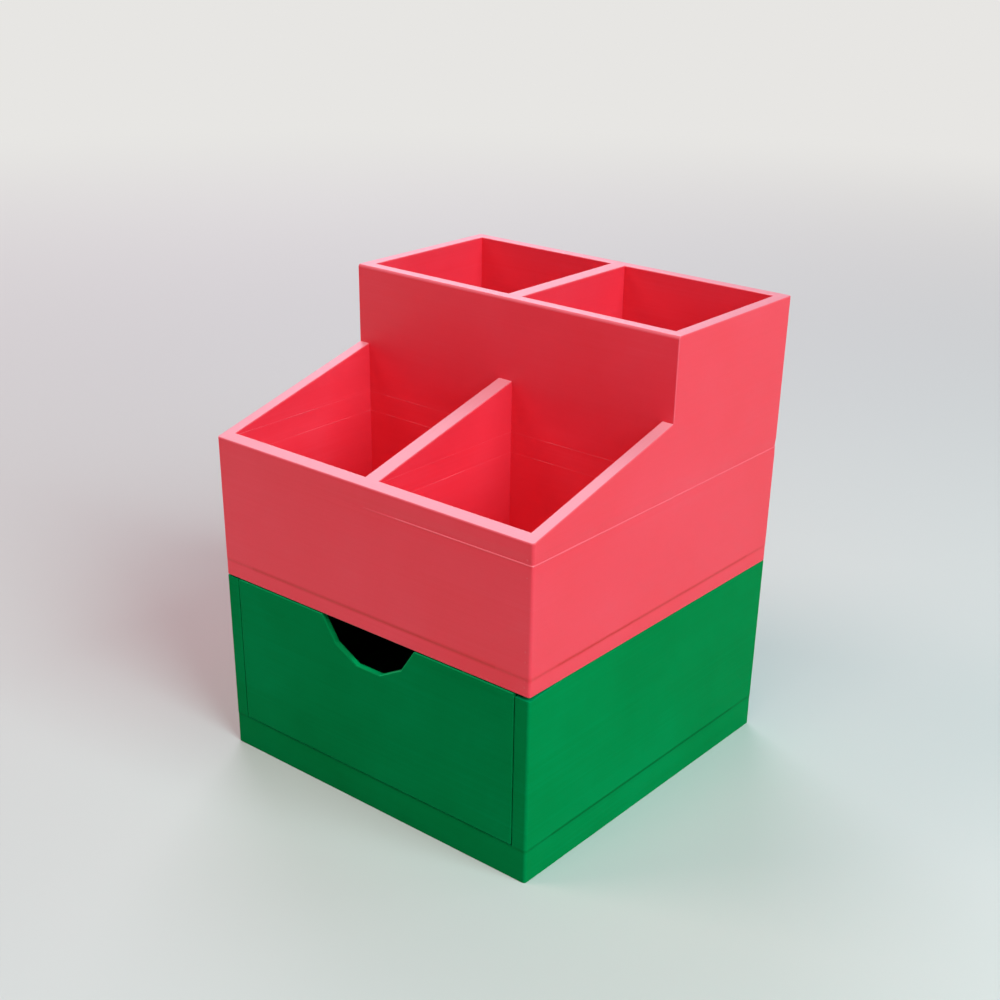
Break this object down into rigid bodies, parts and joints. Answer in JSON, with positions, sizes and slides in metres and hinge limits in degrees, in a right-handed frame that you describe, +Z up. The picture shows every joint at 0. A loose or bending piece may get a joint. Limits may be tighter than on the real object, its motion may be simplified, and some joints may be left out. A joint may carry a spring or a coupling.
{
  "type": "desktop drawer organizer",
  "caption": "Square desk organizer: a pen caddy with low front and tall rear compartments, standing on a housing with a shallow pull-out drawer that has a finger notch.",
  "frame": {"origin": "middle of the underside, at the level of the surface it stands on", "axes": "+Z up, -Y towards the drawer's front, +X to the right as seen from the front"},
  "size_m": [0.12, 0.12, 0.145],
  "materials": {
    "housing_green": "matte, finely layered, emerald green",
    "drawer_green": "matte, finely layered, emerald green",
    "caddy_coral": "matte, finely layered, coral red"
  },
  "bodies": {
    "housing": {"drawer_housing": "housing_green"},
    "drawer": {"drawer": "drawer_green"},
    "caddy": {"pen_caddy": "caddy_coral"}
  },
  "joints": [
    {"name": "drawer_slide", "type": "slide", "parent": "housing", "child": "drawer", "axis": [0, -1, 0], "range_m": [0, 0.12]},
    {"name": "caddy_lift", "type": "slide", "parent": "housing", "child": "caddy", "axis": [0, 0, 1], "range_m": [0, 0.08]}
  ]
}
